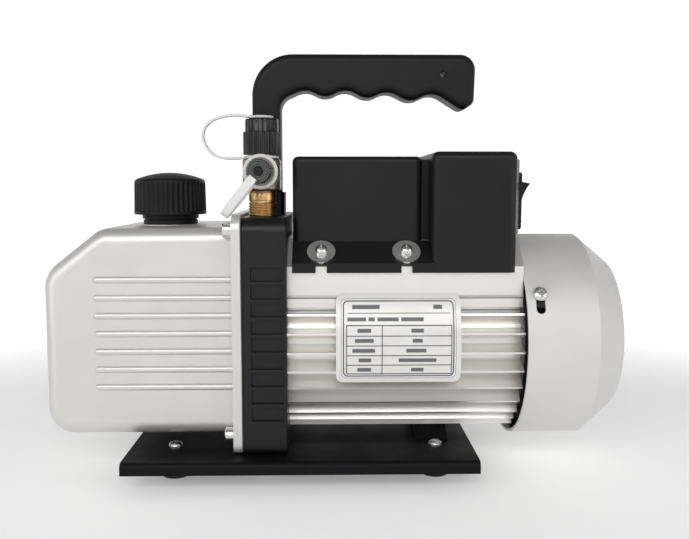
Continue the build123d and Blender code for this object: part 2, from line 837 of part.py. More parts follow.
def tether(band_plane, ring_plane, near, far, neck_radius, nub_radius, reach, wide):
    """A moulded strap: a ring round the port's neck, a flat loop, and an eye on the cap's nub."""
    thick = 1.5
    bend = (far - near) / 2
    with BuildPart() as strap:
        with BuildSketch(band_plane):
            with BuildLine():
                Line((neck_radius + 1.2, near), (reach - bend, near))
                ThreePointArc(
                    (reach - bend, near),
                    (reach, (near + far) / 2),
                    (reach - bend, far),
                )
                Line((reach - bend, far), (nub_radius + 1.2, far))
            trace(line_width=thick)
        extrude(amount=wide / 2, both=True)
        with BuildSketch(ring_plane.offset(near - thick / 2)):
            Circle(neck_radius + 2.2)
            Circle(neck_radius + 0.1, mode=Mode.SUBTRACT)
        extrude(amount=thick)
        with BuildSketch(ring_plane.offset(far - thick / 2)):
            Circle(nub_radius + 3.0)
            Circle(nub_radius + 0.1, mode=Mode.SUBTRACT)
        extrude(amount=thick)
    return strap.part


top_plane = Plane(
    origin=(valve_x, valve_y, body_high), x_dir=(-1, 0, 0), z_dir=(0, 1, 0)
)
top_ring_plane = Plane(
    origin=(valve_x, valve_y, body_high), x_dir=(1, 0, 0), z_dir=(0, 0, 1)
)
top_tether_part = tether(
    top_plane, top_ring_plane, 1.0, 23.6, 7.5, 3.0, 33.5, 4.6
)
top_tether_part.label = "top_tether"
export_step(top_tether_part, "parts/top_tether.step")

droop = math.radians(231)
front_plane = Plane(
    origin=port_plane.origin,
    x_dir=(math.cos(droop), 0, math.sin(droop)),
    z_dir=(math.sin(droop), 0, -math.cos(droop)),
)
front_tether_part = tether(
    front_plane, port_plane, 3.2, 17.4, 7.6, 2.4, 31.0, 5.6
)
front_tether_part.label = "front_tether"
export_step(front_tether_part, "parts/front_tether.step")

# ---------------------------------------------------------------- handle
post_left, post_right, grip_top, grip_end = -43.8, -27.1, 242.6, 88.0
grip_grooves = ((-12.5, 222.5), (11.0, 222.7), (35.5, 221.8), (62.5, 221.0))
grip_ridges = ((-0.7, 216.7), (24.1, 215.9), (49.7, 214.5))
underside = sorted(grip_grooves + grip_ridges)
with BuildPart() as handle:
    with BuildSketch(Plane.XZ):
        with BuildLine():
            FilletPolyline(
                (post_right, boss_top),
                (post_right, 216.0),
                *underside,
                (80.5, 209.8),
                (87.2, 214.5),
                (grip_end, grip_top),
                (post_left, grip_top),
                (post_left, boss_top),
                radius=(9, *[11] * len(underside), 5, 5, 9, 24),
            )
            Line((post_left, boss_top), (post_right, boss_top))
        make_face()
    extrude(amount=handle_half, both=True)
    fillet(
        handle.edges().filter_by(
            lambda e: abs(abs(e.center().Y) - handle_half) < 0.01
            and e.center().Z > boss_top + 1
        ),
        4.5,
    )
    with BuildSketch(at_level(boss_top)):
        with Locations((post_mid_x, 0)):
            Rectangle(2 * tenon_half_x - 0.2, 2 * tenon_half_y - 0.2)
    extrude(amount=tenon_low + 0.2 - boss_top)
    with BuildSketch(Plane.XZ):
        with Locations((68.5, 231.0)):
            Circle(2.0)
    extrude(amount=handle_half, both=True, mode=Mode.SUBTRACT)
    with BuildSketch(along_x(post_mid_x - tenon_half_x)):
        with Locations((-3.8, 156), (3.8, 156)):
            Circle(1.6)
    extrude(amount=8, mode=Mode.SUBTRACT)
handle.part.label = "handle"
export_step(handle.part, "parts/handle.step")

handle_screw = screw(pan_head(3.2, 2.2), 1.5, 9.5)
with BuildPart() as handle_screws:
    for side in (-1, 1):
        with Locations(Location((boss_left, side * 3.8, 156), (0, -90, 0))):
            add(handle_screw)
handle_screws.part.label = "handle_screws"
export_step(handle_screws.part, "parts/handle_screws.step")

# ---------------------------------------------------------------- motor
motor_length = motor_right - housing_right
fin_count, fin_first_angle = 9, 31.5
fin_span = fin_pitch * fin_count
fin_last_angle = fin_first_angle - fin_pitch * (fin_count - 1)


def crown_profile():
    """The motor's raised top, half-octagon shaped, that carries the terminal box."""
    Polyline(
        (-crown_side, 98.0),
        (-crown_side, crown_knee),
        (-crown_side + crown_top - crown_knee, crown_top),
        (crown_side - crown_top + crown_knee, crown_top),
        (crown_side, crown_knee),
        (crown_side, 98.0),
        close=True,
    )


with BuildPart() as motor_body:
    with BuildSketch(along_x(housing_right)):
        with Locations((0, axis_z)):
            Circle(fin_root)
        with BuildLine():
            crown_profile()
        make_face()
        with Locations((0, motor_pad_z)):
            Rectangle(48, 22, align=(Align.CENTER, Align.MIN))
    extrude(amount=motor_length)
    with BuildSketch(shaft_plane(housing_right)):
        for first_angle in (fin_last_angle, 180 - fin_first_angle):
            with PolarLocations(
                0, fin_count, start_angle=first_angle, angular_range=fin_span
            ):
                Polygon(
                    (fin_root - 1.0, -3.9),
                    (fin_root + 1.0, -2.6),
                    (fin_tip, -0.55),
                    (fin_tip, 0.55),
                    (fin_root + 1.0, 2.6),
                    (fin_root - 1.0, 3.9),
                    align=None,
                )
    extrude(amount=motor_length)
    with BuildSketch(along_x(housing_right)):
        with Locations((0, axis_z)):
            Circle(motor_bore)
        with Locations((0, 127.5)):
            Rectangle(48, 7)
        with Locations(*tie_bolt_points):
            Circle(2.7)
    extrude(amount=motor_length, mode=Mode.SUBTRACT)
    with BuildSketch(at_level(motor_pad_z)):
        with Locations((61.5, 8), (61.5, -8)):
            Circle(3.05)
    extrude(amount=6.2, mode=Mode.SUBTRACT)
    for side in (-1, 1):
        for x in box_screw_xs:
            seat = Plane(
                origin=(x, side * box_screw_y, slope_sum - box_screw_y),
                x_dir=(1, 0, 0),
                z_dir=(0, side, 1),
            )
            with BuildSketch(seat):
                Circle(2.05)
            extrude(amount=-12.5, mode=Mode.SUBTRACT)
    # cable hole from the windings up into the terminal box
    with BuildSketch(at_level(crown_top)):
        with Locations((80, 0)):
            Circle(6)
    extrude(amount=-25, mode=Mode.SUBTRACT)
motor_body.part.label = "motor_body"
export_step(motor_body.part, "parts/motor_body.step")

core_left, core_right, core_bore, slots = 14.0, 70.0, 24.5, 24
slot_inner, slot_outer, slot_wide = 27.0, 35.0, 3.6
with BuildPart() as stator_core:
    with BuildSketch(shaft_plane(core_left)):
        Circle(motor_bore - 0.02)
        Circle(core_bore, mode=Mode.SUBTRACT)
        with PolarLocations((slot_inner + slot_outer) / 2, slots):
            Rectangle(slot_outer - slot_inner, slot_wide, mode=Mode.SUBTRACT)
        with PolarLocations(slot_inner - 2, slots):
            Rectangle(5, 1.2, mode=Mode.SUBTRACT)
    extrude(amount=core_right - core_left)
stator_core.part.label = "stator_core"
export_step(stator_core.part, "parts/stator_core.step")

with BuildPart() as stator_windings:
    with BuildSketch(shaft_plane(core_left - 11)):
        with PolarLocations((slot_inner + slot_outer) / 2, slots):
            Rectangle(slot_outer - slot_inner - 0.4, slot_wide - 0.4)
    extrude(amount=core_right - core_left + 22)
    for x_from in (core_left - 11, core_right + 0.5):
        with BuildSketch(shaft_plane(x_from)):
            Circle(38.0)
            Circle(27.5, mode=Mode.SUBTRACT)
        extrude(amount=10.5)
    outer_rims = stator_windings.edges().filter_by(GeomType.CIRCLE).filter_by(
        lambda e: abs(e.radius - 38.0) < 0.01
    )
    fillet(outer_rims, 3.0)
stator_windings.part.label = "stator_windings"
export_step(stator_windings.part, "parts/stator_windings.step")

with BuildPart() as motor_rotor:
    with BuildSketch(shaft_plane(core_left - 3)):
        Circle(core_bore - 0.35)
        Circle(journal_radius + 0.02, mode=Mode.SUBTRACT)
    extrude(amount=core_right - core_left + 6)
motor_rotor.part.label = "motor_rotor"
export_step(motor_rotor.part, "parts/motor_rotor.step")

rear_bearing_left, shaft_end = 101.0, 149.0
with BuildPart() as motor_shaft:
    with BuildSketch(shaft_plane(-28.0)):
        Circle(shaft_radius)
    extrude(amount=shaft_end + 28.0)
    with BuildSketch(shaft_plane(spigot_right + bearing_width + 0.1)):
        Circle(journal_radius)
    extrude(amount=rear_bearing_left - 0.1 - (spigot_right + bearing_width + 0.1))
motor_shaft.part.label = "motor_shaft"
export_step(motor_shaft.part, "parts/motor_shaft.step")


def ball_bearing(x_from):
    """A deep-groove bearing, 15 x 35 x 11: two races and eight balls."""
    with BuildPart() as bearing:
        with BuildSketch(shaft_plane(x_from)):
            Circle(bearing_outer)
            Circle(14.95, mode=Mode.SUBTRACT)
            Circle(10.6)
            Circle(7.52, mode=Mode.SUBTRACT)
        extrude(amount=bearing_width)
        with Locations(shaft_plane(x_from + bearing_width / 2)):
            with PolarLocations(12.77, 8):
                Sphere(2.1)
    return bearing.part


front_bearing_part = ball_bearing(bearing_left)
front_bearing_part.label = "front_bearing"
export_step(front_bearing_part, "parts/front_bearing.step")
rear_bearing_part = ball_bearing(rear_bearing_left)
rear_bearing_part.label = "rear_bearing"
export_step(rear_bearing_part, "parts/rear_bearing.step")

shield_thick, lug_radius = 6.0, cover_radius - cover_wall - 0.1
with BuildPart() as rear_end_shield:
    with BuildSketch(shaft_plane(motor_right)):
        Circle(52.5)
    extrude(amount=shield_thick)
    with BuildSketch(shaft_plane(rear_bearing_left - 0.5)):
        Circle(22)
    extrude(amount=motor_right - rear_bearing_left + 0.5)
    # three lugs that carry the fan cover
    for angle in cover_screw_angles:
        with BuildSketch(shaft_plane(motor_right + shield_thick - 3)):
            with Locations(Location((0, 0), angle)):
                with Locations(((lug_radius + 44) / 2, 0)):
                    Rectangle(lug_radius - 44, 14)
        extrude(amount=13)
    with BuildSketch(shaft_plane(cover_left - 10)):
        Circle(lug_radius)
    extrude(amount=30, mode=Mode.INTERSECT)
    with BuildSketch(shaft_plane(rear_bearing_left - 0.5)):
        Circle(bearing_outer + 0.02)
    extrude(amount=bearing_width + 0.5, mode=Mode.SUBTRACT)
    with BuildSketch(shaft_plane(motor_right)):
        Circle(8.5)
    extrude(amount=shield_thick, mode=Mode.SUBTRACT)
    with BuildSketch(along_x(motor_right)):
        with Locations(*tie_bolt_points):
            Circle(2.7)
    extrude(amount=shield_thick, mode=Mode.SUBTRACT)
    for angle in cover_screw_angles:
        radial = Plane(
            origin=(cover_screw_x, 0, axis_z),
            x_dir=(1, 0, 0),
            z_dir=(
                0,
                math.cos(math.radians(angle)),
                math.sin(math.radians(angle)),
            ),
        )
        with BuildSketch(radial.offset(46)):
            Circle(2.05)
        extrude(amount=20, mode=Mode.SUBTRACT)
rear_end_shield.part.label = "rear_end_shield"
export_step(rear_end_shield.part, "parts/rear_end_shield.step")

tie_bolt = screw(
    socket_head(4.2, 3.2, 4.0), 2.5, motor_right + shield_thick - spigot_right + 10.5
)
with BuildPart() as tie_bolts:
    for y, z in tie_bolt_points:
        with Locations(Location((motor_right + shield_thick, y, z), (0, 90, 0))):
            add(tie_bolt)
tie_bolts.part.label = "tie_bolts"
export_step(tie_bolts.part, "parts/tie_bolts.step")

fan_left, fan_right, fan_blades = 130.0, 148.0, 9
with BuildPart() as cooling_fan:
    with BuildSketch(shaft_plane(fan_left)):
        Circle(13)
    extrude(amount=fan_right - fan_left)
    with BuildSketch(shaft_plane(fan_left)):
        Circle(34)
    extrude(amount=2)
    with BuildSketch(shaft_plane(fan_left)):
        with PolarLocations(0, fan_blades):
            with Locations((33, 0)):
                Rectangle(43, 1.8)
    extrude(amount=fan_right - fan_left - 2)
    with BuildSketch(shaft_plane(fan_left)):
        Circle(shaft_radius + 0.02)
    extrude(amount=fan_right - fan_left, mode=Mode.SUBTRACT)
cooling_fan.part.label = "cooling_fan"
export_step(cooling_fan.part, "parts/cooling_fan.step")

grille_rings = ((11, 15), (19, 23), (27, 31), (35, 39))
with BuildPart() as fan_cover:
    with BuildSketch(Plane.XZ):
        with BuildLine():
            Polyline(
                (cover_left, axis_z + cover_radius),
                (cover_knee, axis_z + cover_radius),
                (cover_right, axis_z + cover_end_radius),
                (cover_right, axis_z),
                (cover_right - cover_wall, axis_z),
                (cover_right - cover_wall, axis_z + cover_end_radius - 0.9),
                (cover_knee - 0.6, axis_z + cover_radius - cover_wall),
                (cover_left, axis_z + cover_radius - cover_wall),
                close=True,
            )
        make_face()
    revolve(axis=Axis((0, 0, axis_z), (1, 0, 0)))
    with BuildSketch(shaft_plane(cover_right)):
        for ring_in, ring_out in reversed(grille_rings):
            Circle(ring_out)
            Circle(ring_in, mode=Mode.SUBTRACT)
        with PolarLocations(0, 6):
            with Locations((25, 0)):
                Rectangle(32, 5, mode=Mode.SUBTRACT)
    extrude(amount=-3, mode=Mode.SUBTRACT)
    # slots that drop over the three screws
    for angle in cover_screw_angles:
        lean = math.radians(angle + (4 if angle > 90 else -4))
        slot_plane = Plane(
            origin=(cover_screw_x, 0, axis_z),
            x_dir=(1, 0, 0),
            z_dir=(0, math.cos(lean), math.sin(lean)),
        )
        with BuildSketch(slot_plane.offset(50)):
            SlotOverall(14, 5.2, rotation=90)
        extrude(amount=15, mode=Mode.SUBTRACT)
fan_cover.part.label = "fan_cover"
export_step(fan_cover.part, "parts/fan_cover.step")

cover_screw = screw(pan_head(4.2, 2.8), 2.0, 11.5)
with BuildPart() as fan_cover_screws:
    for angle in cover_screw_angles:
        radial = Plane(
            origin=(cover_screw_x, 0, axis_z),
            x_dir=(1, 0, 0),
            z_dir=(
                0,
                math.cos(math.radians(angle)),
                math.sin(math.radians(angle)),
            ),
        )
        with Locations(radial.offset(cover_radius + 0.1)):
            add(cover_screw)
fan_cover_screws.part.label = "fan_cover_screws"
export_step(fan_cover_screws.part, "parts/fan_cover_screws.step")

# ---------------------------------------------------------------- terminal box
end_face, end_half, end_low = 110.9, 27.0, 138.5
switch_y, switch_z, inlet_y = -18.0, 157.0, 15.5


def rounded_block(x_from, x_to, half, low, high, radius):
    """A box with rounded upright corners and a rounded top edge."""
    with BuildPart() as block:
        with Locations(((x_from + x_to) / 2, 0, low)):
            Box(
                x_to - x_from,
                2 * half,
                high - low,
                align=(Align.CENTER, Align.CENTER, Align.MIN),
            )
        fillet(block.edges().filter_by(Axis.Z), radius)
        fillet(block.faces().sort_by(Axis.Z)[-1].edges(), radius * 0.8)
    return block.part


def box_cavity(x_from, x_to, half, high):
    """One stretch of the space inside the terminal box."""
    with Locations(((x_from + x_to) / 2, 0, 110)):
        Box(
            x_to - x_from,
            2 * half,
            high - 110,
            align=(Align.CENTER, Align.CENTER, Align.MIN),
            mode=Mode.SUBTRACT,
        )


with BuildPart() as terminal_box:
    add(rounded_block(box_left, neck_left, low_half, 125.0, low_top, 4.0))
    add(rounded_block(block_left, block_right, high_half, lip_low, high_top, 5.0))
    with Locations(((neck_left + block_left) / 2, 0, 125.0)):
        Box(
            block_left - neck_left + 14,
            2 * neck_half,
            neck_top - 125.0,
            align=(Align.CENTER, Align.CENTER, Align.MIN),
        )
    # the end that carries the switch and the power inlet
    with BuildSketch(at_level(end_low)):
        with BuildLine():
            Polyline(
                (block_right - 8, high_half - 3.2),
                (block_right, high_half - 5.4),
                (end_face, end_half),
                (end_face, -end_half),
                (block_right, -high_half + 5.4),
                (block_right - 8, -high_half + 3.2),
                close=True,
            )
        make_face()
    extrude(amount=high_top - 4.0 - end_low)
    # the skirt that lies on the motor's sloping flats
    with BuildSketch(along_x(box_left)):
        with BuildLine():
            Polyline(
                (-low_half + 6, panel_low + 0.2),
                (-low_half + 0.2, panel_low + 0.2),
                (-lip_y, panel_low - lip_y + low_half),
                (-lip_y, lip_low),
                (lip_y, lip_low),
                (lip_y, panel_low - lip_y + low_half),
                (low_half - 0.2, panel_low + 0.2),
                (low_half - 6, panel_low + 0.2),
                close=True,
            )
        make_face()
    extrude(amount=block_left + 3 - box_left)
    box_cavity(box_left + box_wall, neck_left, low_half - box_wall, low_top - box_wall)
    box_cavity(
        neck_left - 1, block_left + 3, neck_half - box_wall, neck_top - box_wall
    )
    box_cavity(
        block_left + box_wall,
        block_right - box_wall,
        high_half - box_wall,
        high_top - box_wall,
    )
    # the motor's crown, so that the box sits down on it
    with BuildSketch(along_x(box_left - 1)):
        with BuildLine():
            crown_profile()
        make_face()
    extrude(amount=block_right - box_left + 2, mode=Mode.SUBTRACT)
    # screw slots, open at the skirt's lower edge
    for side in (-1, 1):
        for x in box_screw_xs:
            with Locations((x, side * 46.0, lip_low)):
                Box(
                    6.2,
                    14.0,
                    13.6,
                    align=(Align.CENTER, Align.CENTER, Align.MIN),
                    mode=Mode.SUBTRACT,
                )
    # openings for the switch and the power inlet
    with Locations((end_face - 4, switch_y, switch_z)):
        Box(12, 12.4, 28.4, mode=Mode.SUBTRACT)
    with Locations((end_face - 4, inlet_y, switch_z)):
        Box(12, 19.2, 26.2, mode=Mode.SUBTRACT)
terminal_box.part.label = "terminal_box"
export_step(terminal_box.part, "parts/terminal_box.step")

washer_thick = 1.3
with BuildPart() as box_washers:
    for side in (-1, 1):
        for x in box_screw_xs:
            seat = Plane(
                origin=(x, side * box_screw_y, slope_sum - box_screw_y),
                x_dir=(1, 0, 0),
                z_dir=(0, side, 1),
            )
            with BuildSketch(seat):
                Circle(7.9)
                Circle(2.2, mode=Mode.SUBTRACT)
            extrude(amount=washer_thick)
box_washers.part.label = "box_washers"
export_step(box_washers.part, "parts/box_washers.step")

box_screw = screw(pan_head(3.4, 3.4), 1.95, 13.0)
with BuildPart() as box_screws:
    for side in (-1, 1):
        for x in box_screw_xs:
            seat = Plane(
                origin=(x, side * box_screw_y, slope_sum - box_screw_y),
                x_dir=(1, 0, 0),
                z_dir=(0, side, 1),
            )
            with Locations(seat.offset(washer_thick)):
                add(box_screw)
box_screws.part.label = "box_screws"
export_step(box_screws.part, "parts/box_screws.step")

with BuildPart() as run_capacitor:
    with BuildSketch(Plane(origin=(-13, 0, 157), x_dir=(0, 1, 0), z_dir=(1, 0, 0))):
        Circle(19)
    extrude(amount=62)
    chamfer(run_capacitor.edges(), 1.2)
    with Locations((49, 6, 157), (49, -6, 157)):
        Box(8, 1, 6, align=(Align.MIN, Align.CENTER, Align.CENTER))
    with Locations((18, 0, crown_top)):
        Box(30, 12, 4, align=(Align.CENTER, Align.CENTER, Align.MIN))
run_capacitor.part.label = "run_capacitor"
export_step(run_capacitor.part, "parts/run_capacitor.step")

bezel_proud, bezel_half_y, bezel_half_z = 2.2, 7.5, 16.5
pocket_half_y, pocket_half_z, pocket_left = 5.6, 12.9, 100.0
pivot_x = 110.0
with BuildPart() as switch_housing:
    with Locations((end_face, switch_y, switch_z)):
        Box(
            bezel_proud,
            2 * bezel_half_y,
            2 * bezel_half_z,
            align=(Align.MIN, Align.CENTER, Align.CENTER),
        )
    fillet(switch_housing.edges().filter_by(Axis.X), 1.5)
    chamfer(switch_housing.edges().group_by(Axis.X)[-1], 0.6)
    with Locations((end_face, switch_y, switch_z)):
        Box(16, 12.2, 28.2, align=(Align.MAX, Align.CENTER, Align.CENTER))
    with Locations((pocket_left, switch_y, switch_z)):
        Box(
            20,
            2 * pocket_half_y,
            2 * pocket_half_z,
            align=(Align.MIN, Align.CENTER, Align.CENTER),
            mode=Mode.SUBTRACT,
        )
    with Locations((pivot_x, switch_y, switch_z)):
        Cylinder(1.25, 12.4, rotation=(90, 0, 0), mode=Mode.SUBTRACT)
    # terminals
    for height in (-9, 0, 9):
        with Locations((end_face - 16, switch_y, switch_z + height)):
            Box(8, 5, 0.8, align=(Align.MAX, Align.CENTER, Align.CENTER))
switch_housing.part.label = "switch_housing"
export_step(switch_housing.part, "parts/switch_housing.step")

rocker_tilt, rocker_half_z, rocker_horn = 11.0, 11.5, 6.1
rocker_lean = math.radians(rocker_tilt)
rocker_plane = Plane(
    origin=(pivot_x, switch_y, switch_z),
    x_dir=(math.cos(rocker_lean), 0, -math.sin(rocker_lean)),
    z_dir=(0, -1, 0),
)
with BuildPart() as switch_rocker:
    with BuildSketch(rocker_plane):
        with BuildLine():
            Line((-4, -6), (1.5, -rocker_half_z))
            Line((1.5, -rocker_half_z), (rocker_horn, -rocker_half_z))
            Spline(
                (rocker_horn, -rocker_half_z),
                (3.3, 0),
                (rocker_horn, rocker_half_z),
                tangents=((-0.5, 1), (0.5, 1)),
            )
            Line((rocker_horn, rocker_half_z), (1.5, rocker_half_z))
            Line((1.5, rocker_half_z), (-4, 6))
            Line((-4, 6), (-4, -6))
        make_face()
    extrude(amount=5.35, both=True)
    with BuildSketch(rocker_plane):
        Circle(1.2)
    extrude(amount=5.9, both=True)
switch_rocker.part.label = "switch_rocker"
export_step(switch_rocker.part, "parts/switch_rocker.step")

socket_floor, socket_half_y, socket_half_z = 98.0, 8.2, 11.7
with BuildPart() as power_inlet:
    with Locations((end_face, inlet_y, switch_z)):
        Box(
            bezel_proud,
            22.0,
            31.0,
            align=(Align.MIN, Align.CENTER, Align.CENTER),
        )
    fillet(power_inlet.edges().filter_by(Axis.X), 2.0)
    with Locations((end_face, inlet_y, switch_z)):
        Box(19, 19.0, 26.0, align=(Align.MAX, Align.CENTER, Align.CENTER))
    with Locations((socket_floor, inlet_y, switch_z)):
        Box(
            20,
            2 * socket_half_y,
            2 * socket_half_z,
            align=(Align.MIN, Align.CENTER, Align.CENTER),
            mode=Mode.SUBTRACT,
        )
    for y_shift, z_shift in ((-2.0, 7.0), (2.0, 0.0), (-2.0, -7.0)):
        with Locations((socket_floor, inlet_y + y_shift, switch_z + z_shift)):
            Box(9, 4.0, 2.0, align=(Align.MIN, Align.CENTER, Align.CENTER))
power_inlet.part.label = "power_inlet"
export_step(power_inlet.part, "parts/power_inlet.step")

# ---------------------------------------------------------------- nameplate
name_left, name_right, name_low, name_high, name_thick = 5.0, 74.2, 57.0, 106.0, 0.5
with BuildPart() as nameplate:
    with BuildSketch(along_x(name_left)):
        with Locations((0, axis_z)):
            Circle(fin_tip + 0.2 + name_thick)
            Circle(fin_tip + 0.2, mode=Mode.SUBTRACT)
    extrude(amount=name_right - name_left)
    with BuildSketch(Plane.XZ) as outline:
        with Locations(((name_left + name_right) / 2, (name_low + name_high) / 2)):
            RectangleRounded(name_right - name_left, name_high - name_low, 4.0)
    extrude(amount=80, mode=Mode.INTERSECT)
nameplate.part.label = "nameplate"
export_step(nameplate.part, "parts/nameplate.step")
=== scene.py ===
"""Looks for the two-stage rotary vane vacuum pump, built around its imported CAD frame.

Metres, +X towards the fan cover, -Y towards the camera, +Z up.
"""

import json
import math

import bmesh
import bpy
from mathutils import Matrix, Vector


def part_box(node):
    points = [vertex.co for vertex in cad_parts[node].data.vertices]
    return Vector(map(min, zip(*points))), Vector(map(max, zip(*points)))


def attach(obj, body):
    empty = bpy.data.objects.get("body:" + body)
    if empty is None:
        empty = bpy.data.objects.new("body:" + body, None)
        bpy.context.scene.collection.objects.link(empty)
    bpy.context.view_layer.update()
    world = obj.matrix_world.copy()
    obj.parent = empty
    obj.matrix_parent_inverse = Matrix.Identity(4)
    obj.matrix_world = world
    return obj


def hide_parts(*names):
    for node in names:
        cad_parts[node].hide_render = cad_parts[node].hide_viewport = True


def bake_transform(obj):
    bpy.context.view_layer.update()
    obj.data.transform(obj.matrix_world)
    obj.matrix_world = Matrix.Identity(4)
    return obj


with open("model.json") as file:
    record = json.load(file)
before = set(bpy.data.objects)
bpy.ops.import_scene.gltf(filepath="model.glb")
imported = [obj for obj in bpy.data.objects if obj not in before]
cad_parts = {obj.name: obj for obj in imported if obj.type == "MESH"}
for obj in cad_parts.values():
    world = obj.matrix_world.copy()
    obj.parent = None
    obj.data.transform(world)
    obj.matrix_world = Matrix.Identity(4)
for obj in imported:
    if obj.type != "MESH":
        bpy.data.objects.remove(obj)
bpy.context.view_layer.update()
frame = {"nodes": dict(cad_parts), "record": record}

MM = 0.001
# brightness of the studio lighting, and the painted glow (emission) of the floor
FRONT_GLOW, BACK_GLOW, TOP_GLOW = 0.58, 1.05, 0.22
FLOOR_GLOW, SIDE_FLOOR_GLOW, FAR_FLOOR_GLOW = 0.26, 0.22, 0.95
NODES = frame["nodes"]


# ---------------------------------------------------------------- camera, light and floor
def make_camera():
    """A camera on the nameplate side, tipped down a little."""
    data = bpy.data.cameras.new("photo_camera")
    data.sensor_width = 36.0
    data.lens = 41.68
    data.clip_start = 0.01
    cam = bpy.data.objects.new("photo_camera", data)
    cam.location = (0.00103, -0.48717, 0.1655)
    cam.rotation_euler = (math.pi / 2 - 0.104, 0, -0.02)
    bpy.context.scene.collection.objects.link(cam)
    bpy.context.scene.camera = cam


def make_light(name, place, target, size, power, size_y):
    """A rectangular softbox at place, facing target."""
    data = bpy.data.lights.new(name, "AREA")
    data.shape = "RECTANGLE"
    data.size = size
    data.size_y = size_y
    data.energy = power
    lamp = bpy.data.objects.new(name, data)
    lamp.location = place
    heading = Vector(target) - Vector(place)
    lamp.rotation_euler = heading.to_track_quat("-Z", "Y").to_euler()
    bpy.context.scene.collection.objects.link(lamp)


def step_between(tree, value, low, high):
    """A smooth step from 0 at low to 1 at high."""
    node = tree.nodes.new("ShaderNodeMapRange")
    node.interpolation_type = "SMOOTHSTEP"
    node.inputs["From Min"].default_value = low
    node.inputs["From Max"].default_value = high
    tree.links.new(value, node.inputs["Value"])
    return node.outputs["Result"]


def make_world():
    """A pale studio: a white backdrop behind, softer in front, dim overhead."""
    world = bpy.data.worlds.new("studio")
    bpy.context.scene.world = world
    world.use_nodes = True
    tree = world.node_tree
    tree.nodes.clear()
    coord = tree.nodes.new("ShaderNodeTexCoord")
    split = tree.nodes.new("ShaderNodeSeparateXYZ")
    sky = tree.nodes.new("ShaderNodeBackground")
    out = tree.nodes.new("ShaderNodeOutputWorld")
    tree.links.new(coord.outputs["Generated"], split.inputs[0])
    behind = step_between(tree, split.outputs["Y"], 0.45, 0.8)
    above = step_between(tree, split.outputs["Z"], 0.30, 0.72)
    tint = mix_colours(tree, behind, (FRONT_GLOW,) * 3, (BACK_GLOW,) * 3)
    tint = mix_colours(tree, above, tint, (TOP_GLOW,) * 3)
    tree.links.new(tint, sky.inputs["Color"])
    tree.links.new(sky.outputs[0], out.inputs["Surface"])


def make_floor():
    """A pale floor with a painted glow: it emits light though it is no lamp, evenly close to the
    pump and much brighter far behind it, so it meets the backdrop's brightness behind and beside
    the pump.
    """
    half = 4.0
    mesh = bpy.data.meshes.new("floor")
    corners = [(-half, -half, 0), (half, -half, 0), (half, half, 0), (-half, half, 0)]
    mesh.from_pydata(corners, [], [(0, 1, 2, 3)])
    floor = bpy.data.objects.new("floor", mesh)
    bpy.context.scene.collection.objects.link(floor)
    paint = surface("floor_paint_and_glow", (0.90, 0.90, 0.90), rough=0.7, mottle=0.005, grain=0.0)
    shader = paint.node_tree.nodes["Principled BSDF"]
    # painted glow: the floor emits light of its own, set by distance from the pump and by
    # direction, brightest far behind
    shader.inputs["Emission Color"].default_value = (1, 1, 1, 1)
    tree = paint.node_tree
    where = tree.nodes.new("ShaderNodeTexCoord").outputs["Object"]
    reach = tree.nodes.new("ShaderNodeVectorMath")
    reach.operation = "LENGTH"
    tree.links.new(where, reach.inputs[0])
    heading = tree.nodes.new("ShaderNodeVectorMath")
    heading.operation = "NORMALIZE"
    tree.links.new(where, heading.inputs[0])
    split = tree.nodes.new("ShaderNodeSeparateXYZ")
    tree.links.new(heading.outputs["Vector"], split.inputs[0])
    far = step_between(tree, split.outputs["Y"], 0.30, 0.70)
    far.node.inputs["To Min"].default_value = SIDE_FLOOR_GLOW
    far.node.inputs["To Max"].default_value = FAR_FLOOR_GLOW
    glow = step_between(tree, reach.outputs["Value"], 0.22, 0.75)
    glow.node.inputs["To Min"].default_value = FLOOR_GLOW
    tree.links.new(far, glow.node.inputs["To Max"])
    tree.links.new(glow, shader.inputs["Emission Strength"])
    mesh.materials.append(paint)


# ---------------------------------------------------------------- materials
def shader_base(name):
    """A new node material: its tree, its Principled shader and object coordinates."""
    mat = bpy.data.materials.new(name)
    mat.use_nodes = True
    tree = mat.node_tree
    shader = tree.nodes["Principled BSDF"]
    coord = tree.nodes.new("ShaderNodeTexCoord")
    return mat, tree, shader, coord.outputs["Object"]


def noise_at(tree, where, scale, detail=2.0, stretch=(1, 1, 1)):
    """A noise texture in object space, scale in cycles per metre, stretched per axis."""
    mapping = tree.nodes.new("ShaderNodeMapping")
    mapping.inputs["Scale"].default_value = stretch
    noise = tree.nodes.new("ShaderNodeTexNoise")
    noise.inputs["Scale"].default_value = scale
    noise.inputs["Detail"].default_value = detail
    tree.links.new(where, mapping.inputs["Vector"])
    tree.links.new(mapping.outputs[0], noise.inputs["Vector"])
    return noise.outputs["Fac"]


def spread_to(tree, value, low, high):
    """Maps the middle of a noise to the range low to high."""
    node = tree.nodes.new("ShaderNodeMapRange")
    node.inputs["From Min"].default_value = 0.3
    node.inputs["From Max"].default_value = 0.7
    node.inputs["To Min"].default_value = low
    node.inputs["To Max"].default_value = high
    tree.links.new(value, node.inputs["Value"])
    return node.outputs["Result"]


def mix_colours(tree, factor, first, second):
    """Mixes two colours, each an (r, g, b) or a socket, by a factor socket."""
    node = tree.nodes.new("ShaderNodeMix")
    node.data_type = "RGBA"
    tree.links.new(factor, node.inputs["Factor"])
    for index, colour in ((6, first), (7, second)):
        if isinstance(colour, tuple):
            node.inputs[index].default_value = (*colour, 1.0)
        else:
            tree.links.new(colour, node.inputs[index])
    return node.outputs[2]


def shade(colour, amount):
    """A colour made lighter (amount above 0) or darker."""
    return tuple(min(1.0, max(0.0, c * (1 + amount))) for c in colour)


